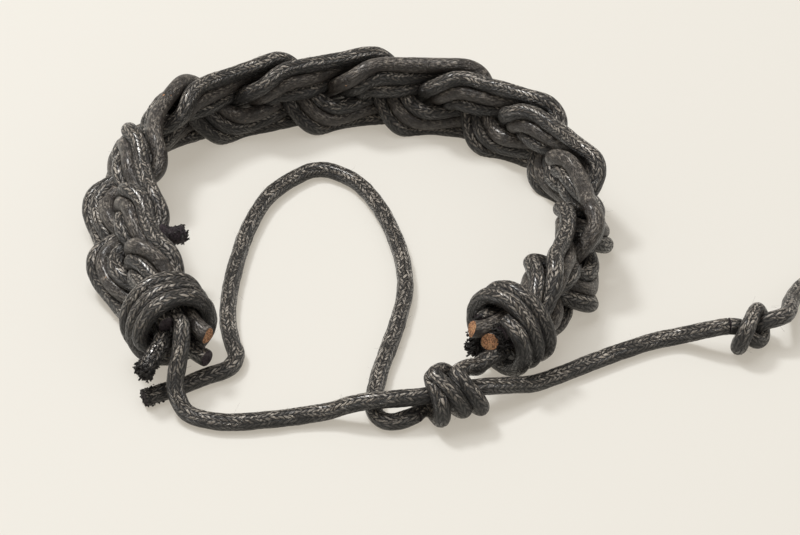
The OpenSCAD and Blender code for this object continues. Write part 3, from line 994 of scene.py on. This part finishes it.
class BraceletPlaitSettings(bpy.types.PropertyGroup):
    cord_diameter: length("Cord Diameter", "Diameter of the plait's cords and laces", 0.00203, 0.001, 0.0025)
    strand_reach: length("Strand Reach", "Swing of a strand to each edge of the band", 0.0034, 0.0032, 0.0036)
    strand_rise: length("Strand Rise", "Rise of a strand over the one it crosses", 0.0018, 0.0016, 0.002)
    cord_spacing: length("Cord Spacing", "Distance between a strand's cords", 0.00166, 0.0015, 0.0018)


class BraceletCordSettings(bpy.types.PropertyGroup):
    tie_diameter: length("Tie Diameter", "Diameter of the ties and the sliding knot", 0.00197, 0.0015, 0.0025)
    binding_diameter: length("Binding Diameter", "Diameter of the bindings' cord", 0.00194, 0.0015, 0.0025)
    stopper_diameter: length("Knot Cord Diameter", "Diameter of the tail's knotted cord",
                             0.00185, 0.0013, 0.0022)
    stitch_length: length("Stitch Length", "Length of one stitch of the sheath", 0.0007, 0.0003, 0.0014)
    stitch_columns: whole("Stitch Columns", "Columns of stitches round a cord", 12, 4, 16, step=2)
    stitch_lean: amount("Stitch Lean", "How far a stitch slants over its column", 1.3, 0, 2, subtype="FACTOR")
    lumps: length("Lumps", "Unevenness of a cord's surface", 0.00005, 0, 0.0002)


class BraceletFinishSettings(bpy.types.PropertyGroup):
    # Painted shade: the colour of the hollows between the stitches and of the faces that turn down.
    cord_shade: tint("Cord Hollow", "Cord colour between the stitches", (0.003, 0.0024, 0.002))
    # The pale wax with painted light, on the raised stitches that face up.
    cord_wax_lit: tint("Cord Wax", "Colour of the waxed stitches", (0.31, 0.262, 0.213))
    # Painted glints: the pale flecks are highlights painted on the crests of the stitches that face up.
    cord_glint: tint("Cord Flecks", "Colour of the pale flecks of rubbed wax", (0.66, 0.6, 0.52))
    cord_lint: tint("Lint", "Colour of lint and dust on the cord", (0.2, 0.19, 0.175))
    leather_skin: tint("Leather Skin", "Colour of the laces' dyed skin", (0.026, 0.0195, 0.015))
    # Pale scuffs on the laces, painted lighter on the upper faces as a highlight.
    leather_scuff_sheen: tint("Leather Scuff", "Colour where the laces are scuffed", (0.42, 0.37, 0.31))
    leather_core: tint("Leather Core", "Tan colour inside a cut lace", (0.68, 0.34, 0.17))
    cotton_core: tint("Cotton Core", "Colour inside a cut cord", (0.05, 0.034, 0.042))
    fibre: tint("Fibre", "Colour of loose cotton fibre", (0.022, 0.02, 0.019))
    hair_count: whole("Stray Fibres", "Stray fibres on each hundred millimetres of cord", 110, 0, 1000)


class BraceletStageSettings(bpy.types.PropertyGroup):
    floor_colour: tint("Floor Colour", "Colour of the surface under the bracelet", (0.405, 0.41, 0.4))
    floor_glow: tint("Floor Glow", "Light that shines up through the surface", (0.385, 0.35, 0.295))
    distance: length("Camera Distance", "From the camera to what it looks at", 0.325, 0.1, 2)
    elevation: amount("Camera Elevation", "Height of the camera over the surface",
                      math.radians(37.5), 0.1, 1.5, subtype="ANGLE", unit="ROTATION")
    lens: amount("Lens", "Focal length on a 36 mm sensor", 121.5, 20, 300, unit="CAMERA")
    key_power: power("Key Light", "Power of the large soft light", 3.5)
    spark_power: power("Spark Light", "Power of the small light that the wax mirrors", 3.4)
    fill_power: power("Fill Light", "Power of the weak light from the right", 0.3)
    sky: amount("Sky", "Strength of the even light from all round", 0.3, 0, 5, subtype="FACTOR")


# Operators

# What the camera looks at, in millimetres from the middle of the wrist.
LOOK_AT = np.array([5.6, -2.5, 0])
SENSOR_WIDTH = 36
FLOOR_CORNERS = [(-1.5, -1.2, 0), (1.5, -1.2, 0), (1.5, 1.8, 0), (-1.5, 1.8, 0)]
# Each light's place, width, colour and the setting that holds its power.
LIGHTS = (
    ("key_light", (-0.2, 0.12, 0.8), 0.7, (0.985, 0.99, 1), "key_power"),
    ("spark_light", (-0.3, 0.3, 0.7), 0.16, (1, 0.99, 0.97), "spark_power"),
    ("fill_light", (0.4, -0.3, 0.32), 0.4, (0.95, 0.97, 1), "fill_power"),
)
SKY_COLOUR = (1, 0.93, 0.84, 1)


class BRACELET_OT_stage(bpy.types.Operator):
    """Set up the camera, the surface and the soft studio light"""
    bl_idname = "bracelet.stage"
    bl_label = "Stage"

    def execute(self, context):
        stage = context.scene.bracelet_stage
        target = LOOK_AT * MM + WRIST * MM
        back = np.array([0, -math.cos(stage.elevation), math.sin(stage.elevation)])
        camera = linked(context, "camera", bpy.data.cameras.new("camera"))
        camera.data.sensor_width = SENSOR_WIDTH
        camera.data.lens = stage.lens
        camera.data.clip_start = 0.01
        camera.location = target + back * stage.distance
        camera.rotation_euler = (math.pi / 2 - stage.elevation, 0, 0)
        context.scene.camera = camera

        mesh = bpy.data.meshes.new("floor")
        mesh.from_pydata(FLOOR_CORNERS, [], [(0, 1, 2, 3)])
        mesh.materials.append(paper_floor(context))
        linked(context, "floor", mesh)

        for name, place, size, colour, setting in LIGHTS:
            light = linked(context, name, bpy.data.lights.new(name, "AREA"))
            light.data.shape = "DISK"
            light.data.size = size
            light.data.energy = getattr(stage, setting)
            light.data.color = colour
            light.location = place
            light.rotation_euler = (Vector(target) - Vector(place)).to_track_quat("-Z", "Y").to_euler()
        world = bpy.data.worlds.new("soft_sky")
        world.use_nodes = True
        sky = world.node_tree.nodes["Background"]
        sky.inputs["Color"].default_value = SKY_COLOUR
        sky.inputs["Strength"].default_value = stage.sky
        context.scene.world = world
        context.scene.view_settings.view_transform = "Standard"
        return {"FINISHED"}


def declared(context, name):
    """Looks up a tie's cord among all the cords; nothing further is done with it."""
    tube = all_tubes(context)[name]


class BRACELET_OT_ties(bpy.types.Operator):
    """Lay the tie cords, with the sliding knot and the tail's knot on them"""
    bl_idname = "bracelet.ties"
    bl_label = "Ties and Knots"

    def execute(self, context):
        materials = waxed_cord(context, "waxed_tie", worn=0.3), cut_cotton(context)
        relief = lumpiness(context)
        for name in ("left_tie", "right_tie", "sliding_knot", "loop_tie", "stopper_knot", "tail_end"):
            last_cap = CAPS["cotton"] if name in ("loop_tie", "tail_end") else None
            cord_object(context, name, materials, relief, last_cap=last_cap)
        declared(context, "left_tie")
        declared(context, "loop_tie")
        return {"FINISHED"}


class BRACELET_OT_bindings(bpy.types.Operator):
    """Wrap the binding cord round both ends of the plait"""
    bl_idname = "bracelet.bindings"
    bl_label = "Bindings"

    def execute(self, context):
        materials = (waxed_cord(context, "waxed_binding", worn=0.5),)
        for name in ("left_binding", "right_binding"):
            cord_object(context, name, materials, lumpiness(context))
        return {"FINISHED"}


class BRACELET_OT_plait_cords(bpy.types.Operator):
    """Plait the six waxed cords"""
    bl_idname = "bracelet.plait_cords"
    bl_label = "Plait Cords"

    def execute(self, context):
        materials = waxed_cord(context, "waxed_plait"), cut_cotton(context)
        for name in (n for names in PLAIT_NODES for n in names if not n.endswith("lace")):
            cord_object(context, name, materials, lumpiness(context),
                        CAPS["cotton"], CAPS["cotton"])
        return {"FINISHED"}


class BRACELET_OT_laces(bpy.types.Operator):
    """Plait the three leather laces"""
    bl_idname = "bracelet.laces"
    bl_label = "Leather Laces"

    def execute(self, context):
        materials = leather_skin(context), cut_leather(context)
        for name in (n for names in PLAIT_NODES for n in names if n.endswith("lace")):
            raw_ends = [end for end in (0, -1) if (name, end) in SLANTED_CUTS]
            cord_object(context, name, materials, 0.0,
                        CAPS["leather"], CAPS["leather"], raw_ends)
        return {"FINISHED"}


# The frayed ends. 0 is a cord's first end, -1 its last. Each has the length that is worn, the crumbs on
# that length, the spread of the clumps at the end, their number, and how far they reach.
FRAYED_ENDS = (
    ("loop_tie", -1, 2.4, 260, 0.2, 160, 0.3),
    ("inner_stub", -1, 3.0, 420, 0.4, 110, 0.45),
    ("strand_1_cord_a", 0, 3.6, 900, 0.5, 330, 0.7),
    ("strand_1_cord_a", -1, 0.8, 60, 0.4, 120, 0.6),
    ("strand_2_cord_a", -1, 1.0, 80, 0.6, 120, 0.8),
    ("strand_2_cord_b", -1, 1.0, 80, 0.6, 120, 0.7),
    ("strand_3_cord_a", -1, 1.0, 80, 0.6, 90, 0.6),
    ("tail_end", -1, 0.6, 40, 0.35, 80, 0.4),
)
# Loose cotton packed in the bindings' mouths: its middle in the band, the way out, and the crumbs in it.
PACKED_MOUTHS = (
    ((END + RIGHT_FACE - 0.7, 0.3, -0.6), 1, 700),
    ((START - LEFT_FACE + 0.7, 0.2, 0.2), -1, 420),
)
MOUTH_RADIUS = 2.0
MOUTH_CRUMB, MOUTH_THICKNESS = 0.7, 0.12
STUB_RELIEF = 0.08
FRAY_SEED = 41


class BRACELET_OT_cut_ends(bpy.types.Operator):
    """Fray the cut cotton ends and the short stub inside the ring"""
    bl_idname = "bracelet.cut_ends"
    bl_label = "Frayed Ends"

    def execute(self, context):
        cord_object(context, "inner_stub", (cut_cotton(context),), STUB_RELIEF,
                    CAPS["cotton"], CAPS["cotton"])
        rng = np.random.default_rng(FRAY_SEED)
        fibres = []
        for name, end, worn, crumbs, spread, clumps, reach in FRAYED_ENDS:
            tube = all_tubes(context)[name]
            foot, way = tube.points[end], end_way(tube, end)
            near = np.flatnonzero(np.abs(tube.along - tube.along[end]) < worn)
            fibres += fluff(rng, tube, near, crumbs)
            clump, hair = reach * CLUMP_SHARE, reach * HAIR_SHARE
            fibres += tuft(rng, foot, way, spread=spread, count=clumps, length=clump,
                           thickness=CLUMP_THICKNESS, radius=tube.reach, tangle=MATTED, depth=clump)
            fibres += tuft(rng, foot, way, spread=spread + 0.2, count=clumps // 8, length=hair,
                           thickness=HAIR_THICKNESS, radius=tube.reach, tangle=0.5, depth=0.1)
        for (along, across, inward), out, count in PACKED_MOUTHS:
            centre = in_band([along, across, inward])[0]
            way = unit(in_band([along + out, across, inward])[0] - centre)
            fibres += tuft(rng, centre, way, spread=0.5, count=count, length=MOUTH_CRUMB,
                           thickness=MOUTH_THICKNESS, radius=MOUTH_RADIUS, tangle=MATTED, depth=0.6)
        fibres_object(context, "frayed_fibres", fibres, loose_cotton(context, "frayed_cotton"))
        return {"FINISHED"}


# Stray hairs, in millimetres. The plait cords carry half as many on their length as the free cords.
STRAY_SEED = 7
STRAY_LENGTH = (0.15, 0.95)
STRAY_RADIUS = (0.005, 0.011)
STRAY_FLOOR = 0.05
PLAIT_SHARE = 0.5


class BRACELET_OT_stray_fibres(bpy.types.Operator):
    """Add the stray hairs that stand off the cords"""
    bl_idname = "bracelet.stray_fibres"
    bl_label = "Stray Fibres"

    def execute(self, context):
        count = context.scene.bracelet_finish.hair_count
        rng = np.random.default_rng(STRAY_SEED)
        hairs = []
        for name, tube in all_tubes(context).items():
            if name.endswith("lace"):
                continue
            share = PLAIT_SHARE if name.startswith("strand") else 1
            for _ in range(int(tube.along[-1] / 100 * count * share)):
                i = rng.integers(2, len(tube.points) - 2)
                out = tube.outward(i, rng.uniform(0, FULL_TURN))
                foot = tube.points[i] + out * tube.reach * 0.96
                lean = out * rng.uniform(0.3, 1) + tube.way[i] * rng.normal(0, 0.8) + rng.normal(0, 0.25, 3)
                lean = unit(lean)
                bend = rng.normal(0, 0.5, 3)
                reach = rng.uniform(*STRAY_LENGTH)
                steps = (0, 0.35, 0.7, 1)
                points = [foot + lean * reach * t + bend * (reach * 0.45 * t * t) for t in steps]
                if min(p[2] for p in points) > STRAY_FLOOR:
                    hairs.append((points, rng.uniform(*STRAY_RADIUS)))
        fibres_object(context, "stray_fibres", hairs, loose_cotton(context, "stray_fibre"))
        return {"FINISHED"}


class BRACELET_PT_panel(bpy.types.Panel):
    """The bracelet's sizes, finishes and pieces"""
    bl_idname = "BRACELET_PT_panel"
    bl_label = "Braided Cord Bracelet"
    bl_space_type = "VIEW_3D"
    bl_region_type = "UI"
    bl_category = "Bracelet"

    def draw(self, context):
        layout = self.layout
        for title, settings in (("Plait", "bracelet_plait"), ("Cords", "bracelet_cords"),
                                ("Finishes", "bracelet_finish"), ("Stage", "bracelet_stage")):
            box = layout.box()
            box.label(text=title)
            group = getattr(context.scene, settings)
            for key in group.__annotations__:
                box.prop(group, key)
        for step in STEPS:
            layout.operator(step.bl_idname)


SETTINGS = {
    "bracelet_plait": BraceletPlaitSettings,
    "bracelet_cords": BraceletCordSettings,
    "bracelet_finish": BraceletFinishSettings,
    "bracelet_stage": BraceletStageSettings,
}
STEPS = (
    BRACELET_OT_stage,
    BRACELET_OT_ties,
    BRACELET_OT_bindings,
    BRACELET_OT_plait_cords,
    BRACELET_OT_laces,
    BRACELET_OT_cut_ends,
    BRACELET_OT_stray_fibres,
)


def register():
    for name, group in SETTINGS.items():
        bpy.utils.register_class(group)
        setattr(bpy.types.Scene, name, bpy.props.PointerProperty(type=group))
    for cls in STEPS + (BRACELET_PT_panel,):
        bpy.utils.register_class(cls)


def unregister():
    for cls in reversed(STEPS + (BRACELET_PT_panel,)):
        bpy.utils.unregister_class(cls)
    for name, group in SETTINGS.items():
        delattr(bpy.types.Scene, name)
        bpy.utils.unregister_class(group)


def main():
    register()
    bpy.ops.bracelet.stage()
    bpy.ops.bracelet.ties()
    bpy.ops.bracelet.bindings()
    bpy.ops.bracelet.plait_cords()
    bpy.ops.bracelet.laces()
    bpy.ops.bracelet.cut_ends()
    bpy.ops.bracelet.stray_fibres()


if __name__ == "__main__":
    main()
